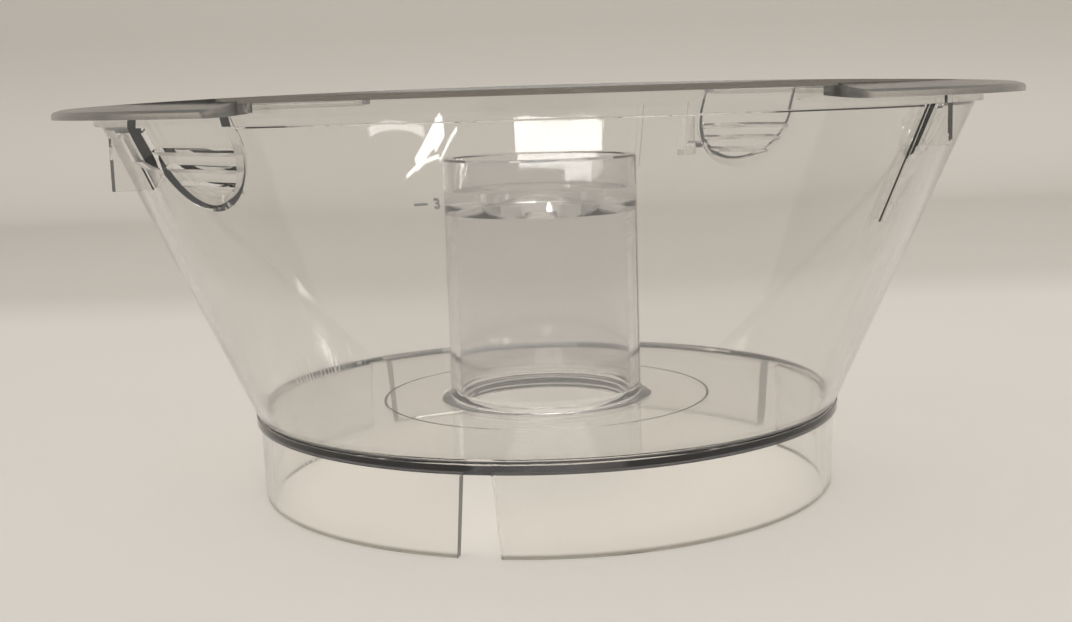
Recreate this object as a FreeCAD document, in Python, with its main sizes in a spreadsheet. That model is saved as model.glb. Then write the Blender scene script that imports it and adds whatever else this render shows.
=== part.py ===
import FreeCAD, Part
import math
import os
import Sketcher

# Inner work bowl of a food processor, moulded in one piece of clear plastic.
# A flat floor stands on a slotted skirt, a cone-shaped wall rises to a flat rim with two
# drooping lifting ears, and an open tube for the drive shaft stands in the middle.
# Millimetres. The origin is on the table at the bowl's axis, with +Z up. The ears lie
# along X and the front is at -Y. Azimuths are degrees round the axis: 0 is the front
# and 90 is +X.

# Sizes that can be set: name, value, what it is
driving_sizes = (
    ("skirt_height", 18.1, "table to the underside of the floor"),
    ("skirt_radius", 69.3, "outside of the skirt at the table"),
    ("skirt_draft", 0.4, "how much wider the skirt is at its top"),
    ("skirt_wall", 2.4, "thickness of the skirt"),
    ("floor_overhang", 1.3, "how far the floor's edge stands out of the skirt"),
    ("floor_thickness", 2.6, "thickness of the floor"),
    ("floor_edge", 1.9, "height of the floor's upright outer edge"),
    ("floor_step", 0.4, "step from the floor's edge in to the wall"),
    ("ring_radius", 39.7, "fine ring left in the floor by the mould"),
    ("ring_width", 0.6, "width of that ring"),
    ("ring_depth", 0.3, "depth of that ring"),
    ("wall_level", 2.3, "thickness of the wall, measured level"),
    ("wall_flare", 30.7, "how much wider the cone is at the ledge than at the floor"),
    ("rim_height", 94.9, "table to the top of the rim at the front"),
    ("rim_thickness", 1.6, "thickness of the rim"),
    ("rim_arch", 2800.0, "radius of the arch that lowers the rim towards the ears"),
    ("rim_reach", 4.0, "how far the rim stands out of the collar"),
    ("collar_step", 1.6, "step from the wall out to the short collar under the rim"),
    ("collar_height", 4.1, "height of the collar under the rim"),
    ("ear_reach", 4.7, "how far the lifting ears stand out of the rim"),
    ("ear_sweep", 120.0, "angle that each ear takes up"),
    ("ear_droop", 2.4, "how far the ear's edge lies under the rim's top"),
    ("ear_edge", 1.6, "thickness of the ear at its edge"),
    ("ear_depth", 3.3, "rim's top to the underside of the ear at the collar"),
    ("ear_corner", 4.0, "rounding of the ear's corners, seen from above"),
    ("tube_radius", 23.4, "outside of the shaft tube"),
    ("tube_wall", 2.4, "thickness of the shaft tube"),
    ("tube_top", 78.9, "table to the top of the tube"),
    ("tube_flare", 2.6, "rounding where the tube meets the floor"),
    ("foot_lip", 1.2, "lip that narrows the tube's foot"),
    ("shelf_drop", 7.6, "top of the tube to the shelf in it"),
    ("shelf_thickness", 2.6, "thickness of the shelf at its hole"),
    ("shelf_depth", 5.7, "height of the shelf where it meets the tube"),
    ("shaft_radius", 10.0, "hole in the shelf for the drive shaft"),
    ("slot_top_width", 6.6, "skirt slot at the floor"),
    ("slot_foot_width", 9.2, "skirt slot at the table"),
    ("slot_corner", 1.0, "rounding of the slot's upper corners"),
    ("slot_front", -12.2, "azimuth of the front slot"),
    ("slot_left", -136.4, "azimuth of the slot at the back left"),
    ("slot_right", 116.0, "azimuth of the slot at the back right"),
    ("grip_left", -43.6, "azimuth of the finger grip at the front left"),
    ("grip_right", 140.9, "azimuth of the finger grip at the back right"),
    ("grip_width", 32.0, "width of a finger grip"),
    ("grip_left_height", 20.2, "rim to the lowest point of the left grip"),
    ("grip_right_height", 22.2, "rim to the lowest point of the right grip"),
    ("grip_bite", 2.4, "how far a finger grip is pressed in"),
    ("grip_draft", 35.0, "angle at which a grip's sides open outward"),
    ("ridge_rise", 3.6, "foot of a grip to its lowest ridge"),
    ("ridge_pitch", 3.35, "height between ridges"),
    ("ridge_height", 1.6, "height of a ridge where it meets the grip"),
    ("ridge_reach", 1.0, "how far a ridge stands out of the grip"),
    ("lug_left", -57.5, "azimuth of the left locating lug"),
    ("lug_right", 51.8, "azimuth of the right locating lug"),
    ("lug_back", 152.8, "azimuth of the locating lug at the back"),
    ("lug_left_drop", 17.1, "rim to the foot of the left lug"),
    ("lug_right_drop", 12.5, "rim to the foot of the right lug"),
    ("lug_back_drop", 19.6, "rim to the foot of the lug at the back"),
    ("lug_height", 10.8, "height of a lug's fin"),
    ("lug_reach", 0.7, "how far a lug's fin stands out past the collar"),
    ("lug_wall", 2.4, "thickness of a lug's fin"),
    ("lug_corner", 1.3, "rounding of the fin's lower outer corner"),
    ("pad_left_drop", 12.7, "rim to the foot of the left pad"),
    ("pad_right_drop", 14.9, "rim to the foot of the right pad"),
    ("pad_back_drop", 17.3, "rim to the foot of the pad at the back"),
    ("pad_left_sweep", 6.0, "angle from the left fin to the pad's far edge"),
    ("pad_right_sweep", 2.8, "angle from the right fin to the pad's far edge"),
    ("pad_back_sweep", 4.5, "angle from the fin at the back to the pad's far edge"),
    ("rib_front", 49.2, "azimuth of the guide rib at the front right"),
    ("rib_front_length", 23.4, "ledge to the foot of that rib"),
    ("rib_back", 161.4, "azimuth of the guide rib at the back"),
    ("rib_back_length", 18.4, "ledge to the foot of that rib"),
    ("rib_wall", 1.6, "thickness of a guide rib"),
    ("rib_reach", 0.5, "how far a guide rib stands out at its top"),
    ("rib_foot_reach", 0.8, "how far a guide rib stands out at its foot"),
    ("edge_bevel", 0.5, "bevel of the rim's and the tube's upper edges"),
    ("foot_bevel", 0.4, "bevel of the skirt's foot"),
    ("seat_bevel", 0.8, "bevel between the floor and the wall"),
)

# Heights and radii that follow from them
derived_sizes = (
    ("floor_top", "=skirt_height + floor_thickness"),
    ("edge_top", "=skirt_height + floor_edge"),
    ("floor_radius", "=skirt_radius + floor_overhang"),
    ("wall_foot_radius", "=floor_radius - floor_step"),
    ("wall_top_radius", "=wall_foot_radius + wall_flare"),
    ("rim_foot", "=rim_height - rim_thickness"),
    ("ledge", "=rim_foot - collar_height"),
    ("wall_slope", "=(wall_top_radius - wall_foot_radius) / (ledge - edge_top)"),
    ("wall_at_table", "=wall_foot_radius - wall_slope * edge_top"),
    ("collar_radius", "=wall_top_radius + collar_step"),
    ("rim_radius", "=collar_radius + rim_reach"),
    ("ear_radius", "=rim_radius + ear_reach"),
    ("ear_top", "=rim_height - ear_droop"),
    ("ear_root", "=rim_height - ear_depth"),
    ("tube_bore", "=tube_radius - tube_wall"),
    ("shelf_top", "=tube_top - shelf_drop"),
    ("grip_left_foot", "=rim_foot - grip_left_height"),
    ("grip_right_foot", "=rim_foot - grip_right_height"),
    ("lug_radius", "=collar_radius + lug_reach"),
    ("lug_left_foot", "=rim_foot - lug_left_drop"),
    ("lug_right_foot", "=rim_foot - lug_right_drop"),
    ("lug_back_foot", "=rim_foot - lug_back_drop"),
    ("pad_left_foot", "=rim_foot - pad_left_drop"),
    ("pad_right_foot", "=rim_foot - pad_right_drop"),
    ("pad_back_foot", "=rim_foot - pad_back_drop"),
    ("rib_front_foot", "=ledge - rib_front_length"),
    ("rib_back_foot", "=ledge - rib_back_length"),
    ("lean", "=atan(wall_slope)"),
    ("grip_depth", "=grip_bite * cos(lean)"),
    ("side_wall", "=wall_level * cos(lean) * (1 - sin(grip_draft)) / cos(grip_draft)"),
    ("pocket_half", "=grip_width / 2 - grip_depth * tan(grip_draft)"),
    ("swell_half", "=pocket_half + side_wall"),
    ("embed", "=wall_level / 4"),
)

doc = FreeCAD.newDocument("food_processor_bowl")
sheet = doc.addObject("Spreadsheet::Sheet", "Sizes")
row = 0
for name, value, note in driving_sizes:
    row += 1
    sheet.set("A%d" % row, note)
    sheet.set("B%d" % row, str(value))
    sheet.setAlias("B%d" % row, name)
for name, formula in derived_sizes:
    row += 1
    sheet.set("B%d" % row, formula)
    sheet.setAlias("B%d" % row, name)
doc.recompute()

body = doc.addObject("PartDesign::Body", "bowl")
body.Label = "bowl"


def size(name):
    # The number that the sheet now holds under a name
    return float(sheet.get(name))


def cone(height, inset="0"):
    # Formula for the wall's outside radius at a height, less an inset
    return "Sizes.wall_at_table + Sizes.wall_slope * (%s) - (%s)" % (height, inset)


def origin_plane(role):
    return [f for f in body.Origin.OriginFeatures if f.Role == role][0]


def outline(name, loops, turn="0"):
    # A sketch of closed outlines on the upright plane, turned about the bowl's axis.
    # Each corner is a pair of formulas: across, and up.
    sketch = body.newObject("Sketcher::SketchObject", name)
    sketch.AttachmentSupport = [(origin_plane("XZ_Plane"), "")]
    sketch.MapMode = "FlatFace"
    sketch.setExpression(
        "AttachmentOffset", "placement(vector(0; 0; 0); rotation(vector(0; 1; 0); %s))" % turn)
    for loop in loops:
        first = sketch.GeometryCount
        count = len(loop)
        guess = [FreeCAD.Vector(60 + 20 * math.cos(2 * math.pi * i / count),
                                60 + 20 * math.sin(2 * math.pi * i / count), 0)
                 for i in range(count)]
        for i in range(count):
            sketch.addGeometry(Part.LineSegment(guess[i], guess[(i + 1) % count]))
        for i in range(count):
            follower = first + (i + 1) % count
            sketch.addConstraint(Sketcher.Constraint("Coincident", first + i, 2, follower, 1))
        for i, (across, up) in enumerate(loop):
            for kind, at, formula in (("DistanceX", guess[i].x, across), ("DistanceY", guess[i].y, up)):
                index = sketch.addConstraint(Sketcher.Constraint(kind, -1, 1, first + i, 1, at))
                sketch.setExpression("Constraints[%d]" % index, formula)
    doc.recompute()
    sketch.Visibility = False
    return sketch


def radial(azimuth):
    # Turn that lays a sketch's across direction along an azimuth
    return "%s - 90" % azimuth


def horseshoe(name, grip, inset, half, top):
    # A sketch for a finger grip, on a plane that leans with the wall at a level inset from its
    # outside: straight sides, a flat top and a round foot. All of a grip's sketches share the
    # centre of the foot, seen square to the wall.
    sketch = body.newObject("Sketcher::SketchObject", name)
    sketch.AttachmentSupport = [(origin_plane("XZ_Plane"), "")]
    sketch.MapMode = "FlatFace"
    sketch.setExpression("AttachmentOffset", (
        "placement(vector(({d}) * sin({t}); 0; ({d}) * cos({t}));"
        " rotation(vector(0; 1; 0); {t}) * rotation(vector(1; 0; 0); Sizes.lean))"
    ).format(d=cone("0", inset), t="Sizes." + grip))
    wide = size("pocket_half")
    high = size("rim_foot") / math.cos(math.radians(size("lean")))
    corner = [FreeCAD.Vector(x, y, 0) for x, y in (
        (-wide, high), (-wide, high - wide / 2), (wide, high - wide / 2), (wide, high))]
    sketch.addGeometry(Part.LineSegment(corner[0], corner[1]))
    sketch.addGeometry(Part.Arc(corner[1], FreeCAD.Vector(0, high - 1.5 * wide, 0), corner[2]))
    sketch.addGeometry(Part.LineSegment(corner[2], corner[3]))
    sketch.addGeometry(Part.LineSegment(corner[3], corner[0]))
    for one, other in ((0, 1), (1, 2), (2, 3), (3, 0)):
        sketch.addConstraint(Sketcher.Constraint("Coincident", one, 2, other, 1))
    spring = "Sizes.{g}_foot / cos(Sizes.lean) + ({i}) * sin(Sizes.lean) + Sizes.grip_width / 2".format(
        g=grip, i=inset)
    lid = "(%s) / cos(Sizes.lean)" % top
    places = (
        (0, 1, "-(%s)" % half, lid),
        (0, 2, "-(%s)" % half, spring),
        (2, 1, half, spring),
        (2, 2, half, lid),
        (1, 3, None, spring),
    )
    for part, point, across, up in places:
        at = sketch.getPoint(part, point)
        for kind, value, formula in (("DistanceX", at.x, across), ("DistanceY", at.y, up)):
            if formula:
                index = sketch.addConstraint(Sketcher.Constraint(kind, -1, 1, part, point, value))
                sketch.setExpression("Constraints[%d]" % index, formula)
    doc.recompute()
    sketch.Visibility = False
    return sketch


def push(kind, name, sketch, length, draft=None):
    # A pad or a pocket from a sketch outward, with sides that may open outward
    feature = body.newObject("PartDesign::" + kind, name)
    feature.Profile = sketch
    feature.Type = "Length"
    feature.Reversed = kind == "Pocket"
    feature.setExpression("Length", length)
    if draft:
        feature.setExpression("TaperAngle", "Sizes.%s" % draft)
    doc.recompute()
    return feature


def fin(name, sketch, thickness):
    # A plate of even thickness about a sketch's plane
    feature = body.newObject("PartDesign::Pad", name)
    feature.Profile = sketch
    feature.Midplane = True
    feature.setExpression("Length", thickness)
    doc.recompute()
    return feature


def spin(kind, name, sketch, sweep=None):
    # A solid or a cut made by turning a sketch about the bowl's axis, evenly to both sides
    feature = body.newObject("PartDesign::" + kind, name)
    feature.Profile = sketch
    feature.ReferenceAxis = (sketch, ["V_Axis"])
    if sweep:
        feature.Midplane = True
        feature.setExpression("Angle", "Sizes.%s" % sweep)
    else:
        feature.Angle = 360
    doc.recompute()
    return feature


def soften(kind, name, amount, pick):
    # Rounds (Fillet) or bevels (Chamfer) each edge of the body for which pick says yes
    base = body.Tip
    names = ["Edge%d" % (i + 1) for i, e in enumerate(base.Shape.Edges) if pick(e)]
    if not names:
        raise RuntimeError("no edge found for " + name)
    feature = body.newObject("PartDesign::" + kind, name)
    feature.Base = (base, names)
    feature.setExpression("Radius" if kind == "Fillet" else "Size", "Sizes.%s" % amount)
    doc.recompute()
    return feature


def near(a, b):
    return abs(a - b) < 0.02


def ring_at(radius, height):
    # Picks the full circle with this radius at this height
    def pick(edge):
        curve = edge.Curve
        return (isinstance(curve, Part.Circle) and near(curve.Radius, radius)
                and near(curve.Center.z, height) and near(curve.Center.x, 0) and near(curve.Center.y, 0))
    return pick


def is_line(edge):
    return isinstance(edge.Curve, Part.Line)


def reach_of(point):
    return math.hypot(point.x, point.y)


def ear_corner_edge(edge):
    # The upright corners at both ends of an ear's outer edge
    return is_line(edge) and near(reach_of(edge.CenterOfMass), size("ear_radius"))


def lug_corner_edge(edge):
    # The lower outer corner of the right fin
    return (is_line(edge) and near(edge.BoundBox.ZMin, size("lug_right_foot"))
            and near(edge.BoundBox.ZMax, size("lug_right_foot"))
            and near(edge.Length, size("lug_wall")) and reach_of(edge.CenterOfMass) > size("lug_radius") - 0.1)


def slot_corner_edge(edge):
    # The corners where a slot's sides meet the floor, inside the skirt's thickness
    middle = reach_of(edge.CenterOfMass)
    return (is_line(edge) and near(edge.BoundBox.ZMin, size("skirt_height"))
            and near(edge.BoundBox.ZMax, size("skirt_height"))
            and size("skirt_radius") - size("skirt_wall") < middle < size("skirt_radius") + size("skirt_draft"))


# Skirt, floor, wall, collar and tube, in one turned section
section = outline("section", [[
    ("Sizes.tube_bore - Sizes.foot_lip", "Sizes.skirt_height"),
    ("Sizes.skirt_radius - Sizes.skirt_wall", "Sizes.skirt_height"),
    ("Sizes.skirt_radius - Sizes.skirt_wall", "0"),
    ("Sizes.skirt_radius", "0"),
    ("Sizes.skirt_radius + Sizes.skirt_draft", "Sizes.skirt_height"),
    ("Sizes.floor_radius", "Sizes.skirt_height"),
    ("Sizes.floor_radius", "Sizes.edge_top"),
    ("Sizes.wall_foot_radius", "Sizes.edge_top"),
    ("Sizes.wall_top_radius", "Sizes.ledge"),
    ("Sizes.collar_radius", "Sizes.ledge"),
    ("Sizes.collar_radius", "Sizes.rim_height"),
    ("Sizes.collar_radius - Sizes.wall_level", "Sizes.rim_height"),
    ("Sizes.collar_radius - Sizes.wall_level", "Sizes.ledge"),
    ("Sizes.wall_top_radius - Sizes.wall_level", "Sizes.ledge"),
    (cone("Sizes.floor_top", "Sizes.wall_level"), "Sizes.floor_top"),
    ("Sizes.tube_radius", "Sizes.floor_top"),
    ("Sizes.tube_radius", "Sizes.tube_top"),
    ("Sizes.tube_bore", "Sizes.tube_top"),
    ("Sizes.tube_bore", "Sizes.shelf_top"),
    ("Sizes.shaft_radius", "Sizes.shelf_top"),
    ("Sizes.shaft_radius", "Sizes.shelf_top - Sizes.shelf_thickness"),
    ("Sizes.tube_bore", "Sizes.shelf_top - Sizes.shelf_depth"),
    ("Sizes.tube_bore", "Sizes.floor_top"),
    ("Sizes.tube_bore - Sizes.foot_lip", "Sizes.floor_top"),
]])
spin("Revolution", "turned_bowl", section)

# Fine ring in the top of the floor
ring = outline("ring_section", [[
    ("Sizes.ring_radius - Sizes.ring_width / 2", "Sizes.floor_top"),
    ("Sizes.ring_radius", "Sizes.floor_top - Sizes.ring_depth"),
    ("Sizes.ring_radius + Sizes.ring_width / 2", "Sizes.floor_top"),
]])
spin("Groove", "mould_ring", ring)

# Rounded edges of the turned form
soften("Fillet", "tube_foot", "tube_flare", ring_at(size("tube_radius"), size("floor_top")))
soften("Chamfer", "tube_lip", "edge_bevel", ring_at(size("tube_radius"), size("tube_top")))
floor_corner = size("wall_at_table") + size("wall_slope") * size("floor_top") - size("wall_level")
soften("Chamfer", "floor_seat", "seat_bevel", ring_at(floor_corner, size("floor_top")))
soften("Chamfer", "skirt_foot", "foot_bevel", ring_at(size("skirt_radius"), 0))


# Finger grips. The wall swells inward first, everything outside the wall is trimmed off,
# and each pocket is then cut from outside, so that the wall keeps its thickness. The rim
# comes after them and closes the pockets above.
for grip in ("grip_left", "grip_right"):
    swell = horseshoe(grip + "_swell_outline", grip, "Sizes.grip_bite + Sizes.wall_level",
                      "Sizes.swell_half", "Sizes.rim_height + 2 * Sizes.wall_level")
    push("Pad", grip + "_swell", swell,
         "Sizes.grip_depth + (Sizes.wall_level + 2 * Sizes.collar_step) * cos(Sizes.lean)", "grip_draft")

trim = outline("trim_section", [[
    ("Sizes.wall_foot_radius", "Sizes.edge_top"),
    ("Sizes.wall_top_radius", "Sizes.ledge"),
    ("Sizes.collar_radius", "Sizes.ledge"),
    ("Sizes.collar_radius", "2 * Sizes.rim_height"),
    ("2 * Sizes.ear_radius", "2 * Sizes.rim_height"),
    ("2 * Sizes.ear_radius", "Sizes.edge_top"),
]])
spin("Groove", "trimmed_wall", trim)

# A pad of thicker wall beside each locating lug. It comes before the pockets, because
# the left one is cut off by its grip.
pads = (
    ("lug_left", "Sizes.pad_left_foot", "pad_left_sweep", 1),
    ("lug_right", "Sizes.pad_right_foot", "pad_right_sweep", -1),
    ("lug_back", "Sizes.pad_back_foot", "pad_back_sweep", -1),
)
for name, foot, sweep, way in pads:
    low = foot + " + Sizes.collar_step"
    pad = outline(name + "_pad_section", [[
        (cone(foot, "Sizes.embed"), foot),
        (cone(foot), foot),
        (cone(low, "-Sizes.collar_step"), low),
        ("Sizes.collar_radius", "Sizes.ledge"),
        (cone("Sizes.ledge", "Sizes.embed"), "Sizes.ledge"),
    ]], radial("Sizes.%s + Sizes.%s / 2 * %d" % (name, sweep, way)))
    spin("Revolution", name + "_pad", pad, sweep)

# Pockets of the finger grips
for grip in ("grip_left", "grip_right"):
    pocket = horseshoe(grip + "_outline", grip, "Sizes.grip_bite", "Sizes.pocket_half",
                       "Sizes.rim_foot")
    push("Pocket", grip + "_pocket", pocket,
         "Sizes.grip_depth + 2 * Sizes.collar_step * cos(Sizes.lean)", "grip_draft")

# Flat rim, with a bevelled upper edge
rim = outline("rim_section", [[
    ("Sizes.collar_radius - Sizes.wall_level", "Sizes.rim_foot"),
    ("Sizes.rim_radius", "Sizes.rim_foot"),
    ("Sizes.rim_radius", "Sizes.rim_height - Sizes.edge_bevel"),
    ("Sizes.rim_radius - Sizes.edge_bevel", "Sizes.rim_height"),
    ("Sizes.collar_radius - Sizes.wall_level", "Sizes.rim_height"),
]])
spin("Revolution", "rim", rim)

# Three ridges in each finger grip
for grip in ("grip_left", "grip_right"):
    ridges = []
    for step in range(3):
        low = "Sizes.%s_foot + Sizes.ridge_rise + %d * Sizes.ridge_pitch" % (grip, step)
        middle = low + " + Sizes.ridge_height / 2"
        high = low + " + Sizes.ridge_height"
        ridges.append([
            (cone(low, "Sizes.grip_bite + Sizes.embed"), low),
            (cone(low, "Sizes.grip_bite"), low),
            (cone(middle, "Sizes.grip_bite - Sizes.ridge_reach"), middle),
            (cone(high, "Sizes.grip_bite"), high),
            (cone(high, "Sizes.grip_bite + Sizes.embed"), high),
        ])
    fin(grip + "_ridges", outline(grip + "_ridge_section", ridges, radial("Sizes." + grip)),
        "2 * Sizes.pocket_half + Sizes.side_wall")

# Lifting ears
for side, azimuth in (("right", "90"), ("left", "-90")):
    ear = outline("ear_%s_section" % side, [[
        ("Sizes.collar_radius - Sizes.embed", "Sizes.ear_root"),
        ("Sizes.collar_radius", "Sizes.ear_root"),
        ("Sizes.ear_radius", "Sizes.ear_top - Sizes.ear_edge"),
        ("Sizes.ear_radius", "Sizes.ear_top - Sizes.edge_bevel"),
        ("Sizes.ear_radius - Sizes.edge_bevel", "Sizes.ear_top"),
        ("Sizes.collar_radius", "Sizes.rim_height"),
        ("Sizes.collar_radius - Sizes.embed", "Sizes.rim_height"),
    ]], radial(azimuth))
    spin("Revolution", "ear_" + side, ear, "ear_sweep")

# Locating lugs, each a fin that stands out of the wall
lugs = (
    ("lug_left", "Sizes.lug_left_foot", "Sizes.lug_left_foot + Sizes.lug_height"),
    ("lug_right", "Sizes.lug_right_foot", "Sizes.ear_root + Sizes.ear_edge / 2"),
    ("lug_back", "Sizes.lug_back_foot", "Sizes.lug_back_foot + Sizes.lug_height"),
)
for name, foot, top in lugs:
    blade = outline(name + "_section", [[
        (cone(foot, "Sizes.embed"), foot),
        ("Sizes.lug_radius", foot),
        ("Sizes.lug_radius", top),
        (cone(top, "Sizes.embed"), top),
    ]], radial("Sizes." + name))
    fin(name + "_fin", blade, "Sizes.lug_wall")

# Guide ribs, which stand out most at their feet
for name in ("rib_front", "rib_back"):
    foot = "Sizes.%s_foot" % name
    wedge = outline(name + "_section", [[
        (cone(foot, "Sizes.embed"), foot),
        (cone(foot, "-Sizes.rib_foot_reach"), foot),
        (cone("Sizes.ledge", "-Sizes.rib_reach"), "Sizes.ledge"),
        (cone("Sizes.ledge", "Sizes.embed"), "Sizes.ledge"),
    ]], radial("Sizes." + name))
    fin(name, wedge, "Sizes.rib_wall")

# The rim arches down a little towards the ears
arch = body.newObject("Sketcher::SketchObject", "arch_outline")
arch.AttachmentSupport = [(origin_plane("XZ_Plane"), "")]
arch.MapMode = "FlatFace"
side = size("ear_radius") + size("rim_thickness")
crown = size("rim_height")
sag = side * side / size("rim_arch") / 2
corners = [FreeCAD.Vector(x, y, 0) for x, y in (
    (-side, crown - sag), (side, crown - sag), (side, crown + sag), (-side, crown + sag))]
arch.addGeometry(Part.Arc(corners[0], FreeCAD.Vector(0, crown, 0), corners[1]))
for i in (1, 2, 3):
    arch.addGeometry(Part.LineSegment(corners[i], corners[(i + 1) % 4]))
# The arc may run either way round, so its ends are matched by place
first_end = 1 if arch.getPoint(0, 1).x > 0 else 2
last_end = 3 - first_end
arch.addConstraint(Sketcher.Constraint("Coincident", 0, first_end, 1, 1))
arch.addConstraint(Sketcher.Constraint("Coincident", 1, 2, 2, 1))
arch.addConstraint(Sketcher.Constraint("Coincident", 2, 2, 3, 1))
arch.addConstraint(Sketcher.Constraint("Coincident", 3, 2, 0, last_end))
arch.addConstraint(Sketcher.Constraint("PointOnObject", 0, 3, -2))
arch.addConstraint(Sketcher.Constraint("Vertical", 1))
arch.addConstraint(Sketcher.Constraint("Horizontal", 2))
arch.addConstraint(Sketcher.Constraint("Vertical", 3))
bend = arch.addConstraint(Sketcher.Constraint("Radius", 0, size("rim_arch")))
arch.setExpression("Constraints[%d]" % bend, "Sizes.rim_arch")
centre = arch.addConstraint(Sketcher.Constraint("DistanceY", 0, 3, -1, 1, size("rim_arch") - crown))
arch.setExpression("Constraints[%d]" % centre, "Sizes.rim_arch - Sizes.rim_height")
across = arch.addConstraint(Sketcher.Constraint("DistanceX", -1, 1, 1, 2, side))
arch.setExpression("Constraints[%d]" % across, "Sizes.ear_radius + Sizes.rim_thickness")
back = arch.addConstraint(Sketcher.Constraint("DistanceX", 2, 2, -1, 1, side))
arch.setExpression("Constraints[%d]" % back, "Sizes.ear_radius + Sizes.rim_thickness")
over = arch.addConstraint(Sketcher.Constraint("DistanceY", -1, 1, 1, 2, crown + sag))
arch.setExpression("Constraints[%d]" % over, "Sizes.rim_height + 4 * Sizes.wall_level")
doc.recompute()
arch.Visibility = False
arched = body.newObject("PartDesign::Pocket", "arched_rim")
arched.Profile = arch
arched.Midplane = True
arched.Type = "Length"
arched.setExpression("Length", "3 * Sizes.ear_radius")
doc.recompute()

# Slots in the skirt, wider at the table
for name in ("slot_front", "slot_left", "slot_right"):
    slot = outline(name + "_outline", [[
        ("-Sizes.slot_foot_width / 2", "0"),
        ("Sizes.slot_foot_width / 2", "0"),
        ("Sizes.slot_top_width / 2", "Sizes.skirt_height"),
        ("-Sizes.slot_top_width / 2", "Sizes.skirt_height"),
    ]], "Sizes." + name)
    push("Pocket", name, slot, "Sizes.floor_radius + 1")

# Rounded edges of the parts that stand out
soften("Fillet", "ear_corners", "ear_corner", ear_corner_edge)
soften("Fillet", "lug_corner", "lug_corner", lug_corner_edge)
soften("Fillet", "slot_corners", "slot_corner", slot_corner_edge)

doc.recompute()
for item in doc.Objects:
    if "Invalid" in item.State or "Error" in item.State:
        raise RuntimeError("%s did not build" % item.Name)

bowl = body.Tip.Shape
if bowl.isNull() or not bowl.isValid() or len(bowl.Solids) != 1:
    raise RuntimeError("the bowl is not one sound solid")
print("volume", bowl.Volume, "solids", len(bowl.Solids), "valid", bowl.isValid())
os.makedirs("parts", exist_ok=True)
bowl.exportStep("parts/bowl.step")
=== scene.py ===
import math
import bmesh
import bpy
from mathutils import Matrix, Vector


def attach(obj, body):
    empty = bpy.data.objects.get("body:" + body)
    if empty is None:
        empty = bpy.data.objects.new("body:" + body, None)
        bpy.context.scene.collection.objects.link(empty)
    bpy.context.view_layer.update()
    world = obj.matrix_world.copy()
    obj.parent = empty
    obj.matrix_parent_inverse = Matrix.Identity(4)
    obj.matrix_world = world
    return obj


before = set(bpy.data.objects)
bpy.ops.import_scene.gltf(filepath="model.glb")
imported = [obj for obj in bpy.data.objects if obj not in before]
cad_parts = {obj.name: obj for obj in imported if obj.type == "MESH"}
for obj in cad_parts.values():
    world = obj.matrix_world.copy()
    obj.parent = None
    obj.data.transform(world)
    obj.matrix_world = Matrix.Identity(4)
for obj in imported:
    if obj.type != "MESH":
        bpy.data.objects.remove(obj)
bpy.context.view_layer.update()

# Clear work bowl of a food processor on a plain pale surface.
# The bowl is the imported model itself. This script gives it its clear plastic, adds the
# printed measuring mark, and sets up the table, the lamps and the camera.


def linearColour(hexText, alpha=1.0):
    # sRGB hex to the linear colour that the shaders want
    out = []
    for i in (0, 2, 4):
        c = int(hexText[i:i + 2], 16) / 255.0
        out.append(c / 12.92 if c <= 0.04045 else ((c + 0.055) / 1.055) ** 2.4)
    return (out[0], out[1], out[2], alpha)


def addNode(tree, kind, inputs=None, out=None, **settings):
    # One node with its settings. Each input takes a plain value or another node's output.
    # It gives back the node itself, or the output that out names.
    node = tree.nodes.new(kind)
    for name, value in settings.items():
        setattr(node, name, value)
    for name, value in (inputs or {}).items():
        if isinstance(value, bpy.types.NodeSocket):
            tree.links.new(value, node.inputs[name])
        else:
            node.inputs[name].default_value = value
    return node if out is None else node.outputs[out]


def newMaterial(name):
    material = bpy.data.materials.new(name)
    material.use_nodes = True
    material.node_tree.nodes.clear()
    return material, material.node_tree


# Camera: stands 350 mm in front of the bowl's axis, just under the rim's height
camera = {
    "place": (0.0, -0.34984, 0.09374),
    "right": (0.99953676, 0.00089701, -0.03042156),
    "up": (0.02994099, 0.15034514, 0.98818008),
    "lens": 48.36,
    "sensor": 36.0,
    "clipStart": 0.01,
}
cameraData = bpy.data.cameras.new("camera")
cameraData.lens = camera["lens"]
cameraData.sensor_width = camera["sensor"]
cameraData.sensor_fit = "HORIZONTAL"
cameraData.clip_start = camera["clipStart"]
cameraObject = bpy.data.objects.new("camera", cameraData)
bpy.context.scene.collection.objects.link(cameraObject)
rightWay = Vector(camera["right"]).normalized()
upWay = Vector(camera["up"]).normalized()
backWay = rightWay.cross(upWay).normalized()
turn = Matrix((rightWay, upWay, backWay)).transposed().to_4x4()
cameraObject.matrix_world = Matrix.Translation(camera["place"]) @ turn
bpy.context.scene.camera = cameraObject
print("camera ready")

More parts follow.
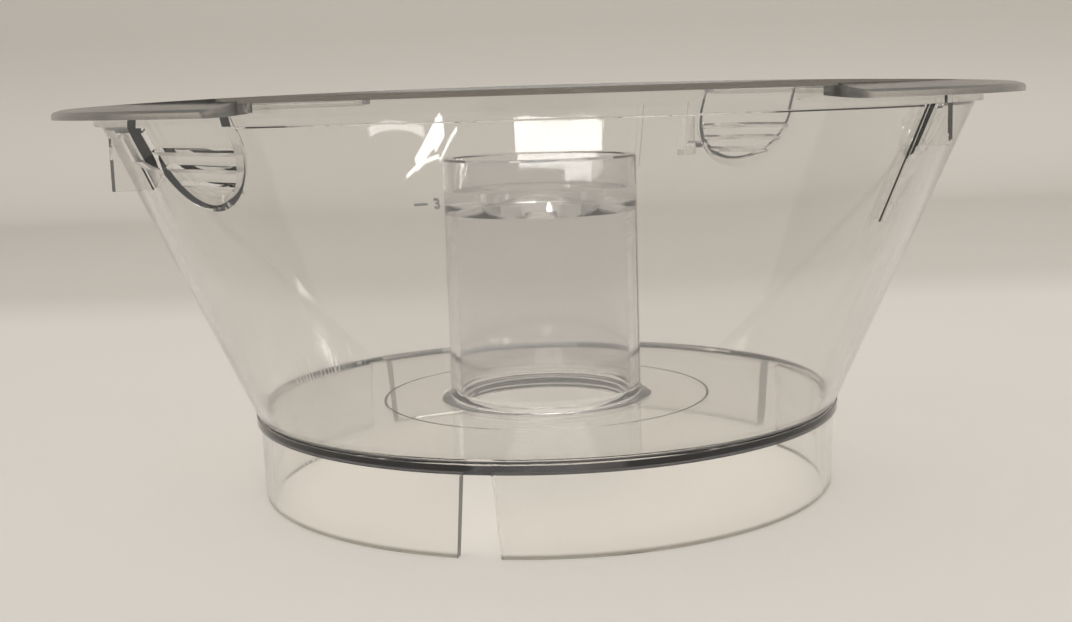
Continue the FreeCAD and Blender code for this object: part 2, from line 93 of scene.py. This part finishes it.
# Clear plastic: injection-moulded polycarbonate, polished mould. It gives bright
# glossy faces, dark lines where a wall is seen edge-on, and a faint warm grey in depth.
plastic = {
    "tint": "F8F7F5",
    "ior": 1.585,
    "veil": 0.015,                  # share of light that the finest scratches scatter
    "depthTint": "D0D2D0",
    "depthDensity": 5.0,            # per metre
    "shadowTint": "FBFBFA",         # of the lamp light that gets past one face
    "slotWay": (977.4, -211.3, 0.0),    # mm per m, which way is across the front slot
    "slotSide": (0.0722, -4.6),     # its cut side: mm across per mm of height, mm at the table
    "lean": (0.08, 0.22),           # m that the scratches shift per radian, and per m of height
    # Noises: mm between features, detail, stretch, roughness. The real marks are finer, and
    # are drawn as coarse as they need to show.
    "noises": {
        "ripple": (24.0, 2.0, (1.0, 1.0, 1.0), 0.45),     # slow waves of the moulded wall
        "draw": (1.3, 3.0, (1.0, 1.0, 0.02), 0.5),        # upright draw marks on the tube
        "ring": (0.8, 1.0, (0.03, 0.03, 1.0), 0.5),       # turning marks in its collar
        "scuff": (1.6, 4.0, (0.12, 0.12, 1.0), 0.6),      # faint rings that wiping leaves
        "patch": (45.0, 2.0, (1.0, 1.0, 1.0), 0.5),       # places where they show more
        "scratch": (0.5, 2.0, (1.0, 1.0, 0.015), 0.5),    # fine scratches up the wall
        "bunch": (30.0, 1.0, (1.0, 1.0, 1.0), 0.5),       # loose bunches of them
    },
    # Zones: what is measured, in mm or as noise, the two ends that it crosses, and the
    # value before and after. Reach is from the axis and height over the table.
    "zones": {
        "tube": ("reach", 24.0, 26.0, 1.0, 0.0),
        "wall": ("reach", 24.0, 26.0, 0.0, 1.0),
        "overRings": ("height", 58.0, 59.0, 0.0, 1.0),
        "underRings": ("height", 66.0, 67.0, 1.0, 0.0),
        "wiped": ("wiping", 0.25, 0.55, 0.01, 0.06),      # roughness, clean and wiped
        "scratched": ("scratch", 0.48, 0.66, 0.0, 1.0),
        "bunched": ("bunch", 0.38, 0.58, 0.0, 1.0),
        "low": ("height", 48.0, 72.0, 1.0, 0.0),
        "left": ("sideways", -50.0, -28.0, 1.0, 0.12),    # few scratches to the right of this
        "high": ("height", 30.0, 60.0, 0.0, 1.0),
        "rim": ("reach", 103.5, 105.5, 0.0, 1.0),
        "ear": ("reach", 106.8, 108.0, 0.0, 1.0),
        "plateSide": ("reach", 70.25, 70.35, 0.0, 1.0),
        "plateLow": ("height", 20.9, 21.1, 1.0, 0.0),
        "foot": ("height", 0.35, 0.9, 1.0, 0.0),
        "slotNear": ("slotGap", 0.06, 0.12, 1.0, 0.0),
        "slotFront": ("back", -61.0, -60.0, 1.0, 0.0),
        "slotLow": ("height", 17.6, 18.0, 1.0, 0.0),
    },
    # What only shows where several zones meet
    "products": {
        "drawn": ("draw", "tube"),
        "turned": ("ring", "overRings", "underRings", "tube"),
        "scratches": ("scratched", "bunched", "low", "left", "wall"),
        "plate": ("plateSide", "plateLow"),
        "slot": ("slotNear", "slotFront", "slotLow"),
    },
    "depths": {"ripple": 0.004, "drawn": 0.003, "turned": 0.03},   # mm
    "hazes": {"scratches": 0.16, "rim": 0.22},      # roughness that each adds
    # Tints, each laid over the one before it
    "layers": {
        "high": "F5F4F2",           # the upper wall has been handled more
        "tube": "F4F4F4",           # the shaft tube is thicker and a little greyer
        "rim": "605C56",            # painted shade on its outer edge, which is also rough
        "ear": "C8C5BE",            # painted shade, lighter than the rim's, on the ears outside of it
        "plate": "26262A",          # the floor's upright edge, where light is trapped
        "foot": "9A958C",           # the skirt's lowest edge, just over the table, is tinted darker
        "slot": "4A4843",           # the slot's cut side, dark for the plate's reason
    },
}


def clearPlastic(name, look):
    material, tree = newMaterial(name)
    place = addNode(tree, "ShaderNodeTexCoord", out="Object")
    axes = addNode(tree, "ShaderNodeSeparateXYZ", {"Vector": place})
    flat = addNode(tree, "ShaderNodeMapping",
                   {"Vector": place, "Scale": (1000.0, 1000.0, 0.0)}, "Vector")
    parts = {
        "reach": addNode(tree, "ShaderNodeVectorMath", {0: flat}, "Value", operation="LENGTH"),
        "across": addNode(tree, "ShaderNodeVectorMath", {0: place, 1: look["slotWay"]}, "Value",
                          operation="DOT_PRODUCT"),
    }
    for axis, part in (("X", "sideways"), ("Y", "back"), ("Z", "height")):
        parts[part] = addNode(tree, "ShaderNodeMath", {0: axes.outputs[axis], 1: 1000.0},
                              "Value", operation="MULTIPLY")
    # How far a point is off the slot's cut side, which leans
    rise, start = look["slotSide"]
    cut = addNode(tree, "ShaderNodeMath", {0: parts["height"], 1: rise, 2: start}, "Value",
                  operation="MULTIPLY_ADD")
    off = addNode(tree, "ShaderNodeMath", {0: parts["across"], 1: cut}, "Value",
                  operation="SUBTRACT")
    parts["slotGap"] = addNode(tree, "ShaderNodeMath", {0: off}, "Value", operation="ABSOLUTE")
    # The scratches follow lines that lean as they go round
    perRadian, perHeight = look["lean"]
    azimuth = addNode(tree, "ShaderNodeMath", {0: axes.outputs["X"], 1: axes.outputs["Y"]},
                      "Value", operation="ARCTAN2")
    along = addNode(tree, "ShaderNodeMath", {0: azimuth, 1: perRadian}, "Value",
                    operation="MULTIPLY")
    leaned = addNode(tree, "ShaderNodeMath", {0: axes.outputs["Z"], 1: perHeight, 2: along},
                     "Value", operation="MULTIPLY_ADD")
    lane = addNode(tree, "ShaderNodeCombineXYZ", {"X": leaned, "Z": axes.outputs["Z"]}, "Vector")
    for part, (spacing, detail, stretch, roughness) in look["noises"].items():
        source = lane if part == "scratch" else place
        mapped = addNode(tree, "ShaderNodeMapping", {"Vector": source, "Scale": stretch}, "Vector")
        parts[part] = addNode(tree, "ShaderNodeTexNoise", {
            "Vector": mapped, "Scale": 1000.0 / spacing, "Detail": detail,
            "Roughness": roughness}, "Fac", noise_dimensions="3D")
    parts["wiping"] = addNode(tree, "ShaderNodeMath", {0: parts["scuff"], 1: parts["patch"]},
                              "Value", operation="MULTIPLY")
    for part, (measure, fromEnd, toEnd, before, after) in look["zones"].items():
        parts[part] = addNode(tree, "ShaderNodeMapRange", {
            "Value": parts[measure], "From Min": fromEnd, "From Max": toEnd,
            "To Min": before, "To Max": after}, "Result")
    for part, (first, *others) in look["products"].items():
        product = parts[first]
        for other in others:
            product = addNode(tree, "ShaderNodeMath", {0: product, 1: parts[other]},
                              "Value", operation="MULTIPLY")
        parts[part] = product
    # The surface, from the slow waves to the finest marks, then its roughness and its tint
    surface = {}
    for part, depth in look["depths"].items():
        bump = addNode(tree, "ShaderNodeBump", {
            "Strength": 1.0, "Distance": depth / 1000.0, "Height": parts[part], **surface})
        surface = {"Normal": bump.outputs["Normal"]}
    haze = parts["wiped"]
    for part, amount in look["hazes"].items():
        haze = addNode(tree, "ShaderNodeMath", {0: parts[part], 1: amount, 2: haze}, "Value",
                       operation="MULTIPLY_ADD")
    # Of the tints laid over it, the rim's and the ears' are painted shade
    tint = linearColour(look["tint"])
    for part, layer in look["layers"].items():
        tint = addNode(tree, "ShaderNodeMix", {0: parts[part], 6: tint, 7: linearColour(layer)},
                       2, data_type="RGBA")
    body = addNode(tree, "ShaderNodeBsdfPrincipled", {
        "IOR": look["ior"], "Transmission Weight": 1.0 - look["veil"],
        "Base Color": tint, "Roughness": haze, **surface}, "BSDF")
    # Lamps shine through, so the bowl throws the pale shadow of clear plastic
    passing = addNode(tree, "ShaderNodeBsdfTransparent",
                      {"Color": linearColour(look["shadowTint"])}, "BSDF")
    shadowRay = addNode(tree, "ShaderNodeLightPath", out="Is Shadow Ray")
    mixed = addNode(tree, "ShaderNodeMixShader", {0: shadowRay, 1: body, 2: passing}, "Shader")
    inside = addNode(tree, "ShaderNodeVolumeAbsorption", {
        "Color": linearColour(look["depthTint"]), "Density": look["depthDensity"]}, "Volume")
    addNode(tree, "ShaderNodeOutputMaterial", {"Surface": mixed, "Volume": inside})
    return material


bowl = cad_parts["bowl"]
clearMaterial = clearPlastic("clearPolycarbonate", plastic)
for slot in bowl.material_slots:
    slot.material = clearMaterial
print("bowl dressed")

# Printed measuring mark on the outside of the wall at the back: a dash and a plain 3
mark = {
    "azimuth": -158.5,        # degrees round the bowl, 0 at the front
    "height": 61.6,           # mm over the table
    "digitHeight": 3.3,       # mm
    "digitStroke": 0.42,      # mm by which the digit's strokes are thickened
    "dashLength": 4.4,
    "dashThickness": 0.75,
    "dashGap": 2.0,           # mm from the dash to the digit
    "wallAtTable": 61.327,    # mm, outside of the wall's cone carried down to the table
    "wallSlope": 0.44364,
    "lift": 0.05,             # mm that the ink stands on the wall
    "dashSteps": 8,           # pieces of the dash, so that it follows the wall
    "capHeight": 0.7,         # the typeface's digit height as a share of its size
    "curveSteps": 6,
    "ink": "4E5257",
    "wornInk": "787C80",
    "speckSize": 0.35,        # mm
    "speckEnds": (0.35, 0.6), # of the noise, from worn through to full
}


def inkOn(mesh, look):
    # Lays flat artwork, in mm, on the outside of the wall's cone. Its left is on the left
    # for someone who looks through the bowl from the front.
    for vertex in mesh.vertices:
        across, up = vertex.co.x, vertex.co.y
        z = look["height"] + up
        radius = look["wallAtTable"] + look["wallSlope"] * z + look["lift"]
        turn = math.radians(look["azimuth"]) - across / radius
        vertex.co = Vector((radius * math.sin(turn), -radius * math.cos(turn), z)) / 1000.0


def printInk(name, look):
    # Screen-printed ink: matt, slightly worn through in specks
    material, tree = newMaterial(name)
    place = addNode(tree, "ShaderNodeTexCoord", out="Object")
    speck = addNode(tree, "ShaderNodeTexNoise",
                    {"Vector": place, "Scale": 1000.0 / look["speckSize"], "Detail": 2.0}, "Fac")
    shade = addNode(tree, "ShaderNodeValToRGB", {"Fac": speck})
    for element, position, tone in zip(shade.color_ramp.elements, look["speckEnds"],
                                       ("wornInk", "ink")):
        element.position = position
        element.color = linearColour(look[tone])
    body = addNode(tree, "ShaderNodeBsdfPrincipled",
                   {"Roughness": 0.6, "Base Color": shade.outputs["Color"]}, "BSDF")
    addNode(tree, "ShaderNodeOutputMaterial", {"Surface": body})
    return material


inkMaterial = printInk("screenPrintInk", mark)
digitCurve = bpy.data.curves.new("digitCurve", "FONT")
digitCurve.body = "3"
digitCurve.size = mark["digitHeight"] / mark["capHeight"]
digitCurve.resolution_u = mark["curveSteps"]
digitCurve.offset = mark["digitStroke"] / 2
digitObject = bpy.data.objects.new("digitCurve", digitCurve)
bpy.context.scene.collection.objects.link(digitObject)
bpy.context.view_layer.update()
digitMesh = bpy.data.meshes.new_from_object(digitObject)
bpy.data.objects.remove(digitObject)
digitFoot = min(v.co.y for v in digitMesh.vertices)
digitTop = max(v.co.y for v in digitMesh.vertices)
digitLeft = min(v.co.x for v in digitMesh.vertices)
scale = mark["digitHeight"] / (digitTop - digitFoot)
for vertex in digitMesh.vertices:
    x, y = vertex.co.x, vertex.co.y
    vertex.co = Vector(((x - digitLeft) * scale, (y - (digitFoot + digitTop) / 2) * scale, 0))
dash = bmesh.new()
steps = mark["dashSteps"]
half = mark["dashThickness"] / 2
for i in range(steps):
    x0 = -mark["dashGap"] - mark["dashLength"] * (1 - i / steps)
    x1 = -mark["dashGap"] - mark["dashLength"] * (1 - (i + 1) / steps)
    corners = ((x0, -half, 0), (x1, -half, 0), (x1, half, 0), (x0, half, 0))
    dash.faces.new([dash.verts.new(corner) for corner in corners])
bmesh.ops.remove_doubles(dash, verts=dash.verts, dist=1e-6)
dashMesh = bpy.data.meshes.new("measureDash")
dash.to_mesh(dashMesh)
dash.free()
for name, mesh in (("measureDigit", digitMesh), ("measureDash", dashMesh)):
    inkOn(mesh, mark)
    mesh.materials.clear()
    mesh.materials.append(inkMaterial)
    piece = bpy.data.objects.new(name, mesh)
    bpy.context.scene.collection.objects.link(piece)
    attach(piece, "root")
print("measuring mark printed")

# Table and backdrop in one sheet of pale card that curves up behind the bowl
sweep = {
    "halfWidth": 5.0,
    "near": -5.0,
    "foot": 0.80,             # where it starts to rise behind the bowl, m
    "bend": 0.15,
    "bendSteps": 8,
    "top": 1.6,
    "card": "CCC7C1",
    "backCard": "BCB6AE",     # the sheet behind the bowl is a little deeper in tone
    "change": (0.27, 0.36),   # m behind the bowl between which the tone changes
    "upright": "CFC9C1",      # the part that stands up gets less light and is paler
    "rise": (0.78, 0.93),
    "mottleSize": 110.0,      # mm
    "mottle": 0.25,           # how much of the deeper tone the mottle brings in
    "backShare": 0.85,        # the rest of it comes with the change
    "roughness": 0.75,
    "specular": 0.2,
}
profile = [(sweep["near"], 0.0), (sweep["foot"], 0.0)]
for i in range(1, sweep["bendSteps"] + 1):
    angle = math.radians(90 * i / sweep["bendSteps"])
    profile.append((sweep["foot"] + sweep["bend"] * math.sin(angle),
                    sweep["bend"] * (1 - math.cos(angle))))
profile.append((sweep["foot"] + sweep["bend"], sweep["top"]))
card = bmesh.new()
sides = (-sweep["halfWidth"], sweep["halfWidth"])
rows = [[card.verts.new((x, y, z)) for x in sides] for y, z in profile]
for below, above in zip(rows, rows[1:]):
    face = card.faces.new((below[0], below[1], above[1], above[0]))
    face.smooth = True
cardMesh = bpy.data.meshes.new("paleCard")
card.to_mesh(cardMesh)
card.free()


def paleCard(name, look):
    # Uncoated card: plain and matt, with a very faint mottle
    material, tree = newMaterial(name)
    place = addNode(tree, "ShaderNodeTexCoord", out="Object")
    back = addNode(tree, "ShaderNodeSeparateXYZ", {"Vector": place}, "Y")
    fibre = addNode(tree, "ShaderNodeTexNoise", {
        "Vector": place, "Scale": 1000.0 / look["mottleSize"], "Detail": 3.0,
        "Roughness": 0.5}, "Fac", noise_dimensions="3D")
    mottle = addNode(tree, "ShaderNodeMath", {0: fibre, 1: look["mottle"]}, "Value",
                     operation="MULTIPLY")
    change = addNode(tree, "ShaderNodeMapRange", {
        "Value": back, "From Min": look["change"][0], "From Max": look["change"][1],
        "To Min": 0.0, "To Max": look["backShare"]}, "Result")
    share = addNode(tree, "ShaderNodeMath", {0: change, 1: mottle}, "Value", operation="ADD")
    rise = addNode(tree, "ShaderNodeMapRange", {
        "Value": back, "From Min": look["rise"][0], "From Max": look["rise"][1]}, "Result")
    shade = linearColour(look["card"])
    for amount, layer in ((share, "backCard"), (rise, "upright")):
        shade = addNode(tree, "ShaderNodeMix", {0: amount, 6: shade, 7: linearColour(look[layer])},
                        2, data_type="RGBA")
    body = addNode(tree, "ShaderNodeBsdfPrincipled", {
        "Roughness": look["roughness"], "Specular IOR Level": look["specular"],
        "Base Color": shade}, "BSDF")
    addNode(tree, "ShaderNodeOutputMaterial", {"Surface": body})
    return material


cardMesh.materials.append(paleCard("uncoatedCard", sweep))
floor = bpy.data.objects.new("floor", cardMesh)
bpy.context.scene.collection.objects.link(floor)
print("table set")

# Lamps: a window in three parts, so that its mirror image in the cone wall has a straight
# top, a side window with a thin bright sliver along it, and soft boxes. Lengths are in m,
# the roll is in degrees, and the glow is the radiance.
lampTint = "FFFEFC"
lamps = {
    "windowRight": {"place": (0.0705, -0.8978, 1.1071), "aim": (0.0705, 0.0922, 0.0821),
                    "roll": 2.4, "width": 0.177, "height": 0.061, "glow": 8.1},
    "windowMiddle": {"place": (-0.109, -0.8976, 1.1074), "aim": (-0.109, 0.0924, 0.0824),
                     "roll": -2.7, "width": 0.182, "height": 0.061, "glow": 8.1},
    "windowLeft": {"place": (-0.318, -0.8867, 1.1179), "aim": (-0.318, 0.1033, 0.0929),
                   "roll": -9.4, "width": 0.24, "height": 0.078, "glow": 8.1},
    "sideWindow": {"place": (0.795, -0.7778, 1.2231), "aim": (0.795, 0.2122, 0.1981),
                   "roll": 11.3, "width": 0.32, "height": 0.024, "glow": 9.0},
    "sideWindowTop": {"place": (0.700, -0.7922, 1.2093), "aim": (0.700, 0.1978, 0.1843),
                      "roll": 8.0, "width": 0.10, "height": 0.032, "glow": 9.0},
    "sideSliver": {"place": (0.900, -0.7700, 1.2307), "aim": (0.900, 0.2200, 0.2057),
                   "roll": 17.5, "width": 0.36, "height": 0.007, "glow": 9.0},
    "sideSliverTop": {"place": (0.636, -0.8195, 1.1828), "aim": (0.636, 0.1705, 0.1578),
                      "roll": 5.0, "width": 0.19, "height": 0.006, "glow": 9.0},
    "sideBar": {"place": (1.083, -0.661, 1.336), "aim": (1.083, 0.334, 0.306),
                "roll": 27.0, "width": 0.62, "height": 0.014, "glow": 4.0},
    "leftStreak": {"place": (1.141, 0.494, 0.56), "aim": (-0.066, 0.043, 0.033),
                   "roll": 0.0, "width": 0.14, "height": 0.1, "glow": 3.6},
    "rightStreak": {"place": (-1.20, 0.253, 0.56), "aim": (0.058, 0.043, 0.027),
                    "roll": 0.0, "width": 0.12, "height": 0.12, "glow": 1.1},
    "topBox": {"place": (0.1, -0.1, 1.7), "aim": (0.0, 0.0, 0.0),
               "roll": 0.0, "width": 1.6, "height": 1.2, "glow": 2.57},
}
for name, lamp in lamps.items():
    data = bpy.data.lights.new(name, "AREA")
    data.shape = "RECTANGLE"
    data.size = lamp["width"]
    data.size_y = lamp["height"]
    data.energy = lamp["glow"] * math.pi * lamp["width"] * lamp["height"]
    data.color = linearColour(lampTint)[:3]
    lampObject = bpy.data.objects.new(name, data)
    bpy.context.scene.collection.objects.link(lampObject)
    lampObject.location = lamp["place"]
    facing = (Vector(lamp["aim"]) - Vector(lamp["place"])).to_track_quat("-Z", "Y").to_matrix()
    roll = Matrix.Rotation(math.radians(lamp["roll"]), 3, "Z")
    lampObject.rotation_euler = (facing @ roll).to_euler()

# Room: pale, dimmer towards its floor, with one dark patch straight in front of the bowl.
# Where it is looked at, past the card or through the plastic, it is one pale tone.
room = {
    "bright": "D9D9D8",
    "dim": "B9B8B6",
    "brightFrom": 0.6,        # upward part of the direction from which it is fully bright
    "dark": "3C3B3A",
    "darkEnds": (-0.982, -0.962),     # forward part between which the patch ends
    "strength": 1.04,
    "distance": "CDC6BC",
}
world = bpy.data.worlds.new("room")
world.use_nodes = True
bpy.context.scene.world = world
worldTree = world.node_tree
worldTree.nodes.clear()
way = addNode(worldTree, "ShaderNodeTexCoord", out="Generated")
waySplit = addNode(worldTree, "ShaderNodeSeparateXYZ", {"Vector": way})
roomShade = addNode(worldTree, "ShaderNodeValToRGB", {"Fac": waySplit.outputs["Z"]})
roomEnds = ((0.0, "dim"), (room["brightFrom"], "bright"))
for element, (position, tone) in zip(roomShade.color_ramp.elements, roomEnds):
    element.position = position
    element.color = linearColour(room[tone])
darkFrom, darkTo = room["darkEnds"]
darkShare = addNode(worldTree, "ShaderNodeMapRange", {
    "Value": waySplit.outputs["Y"], "From Min": darkFrom, "From Max": darkTo,
    "To Min": 1.0, "To Max": 0.0}, "Result")
roomColour = addNode(worldTree, "ShaderNodeMix", {
    0: darkShare, 6: roomShade.outputs["Color"], 7: linearColour(room["dark"])}, 2,
    data_type="RGBA")
roomLight = addNode(worldTree, "ShaderNodeBackground",
                    {"Strength": room["strength"], "Color": roomColour}, "Background")
distance = addNode(worldTree, "ShaderNodeBackground",
                   {"Color": linearColour(room["distance"]), "Strength": 1.0}, "Background")
rays = addNode(worldTree, "ShaderNodeLightPath")
seen = addNode(worldTree, "ShaderNodeMath", {
    0: rays.outputs["Is Camera Ray"], 1: rays.outputs["Is Transmission Ray"]}, "Value",
    operation="MAXIMUM")
mixedRoom = addNode(worldTree, "ShaderNodeMixShader", {0: seen, 1: roomLight, 2: distance},
                    "Shader")
addNode(worldTree, "ShaderNodeOutputWorld", {"Surface": mixedRoom})
bpy.context.scene.view_settings.view_transform = "Standard"
print("lamps lit")
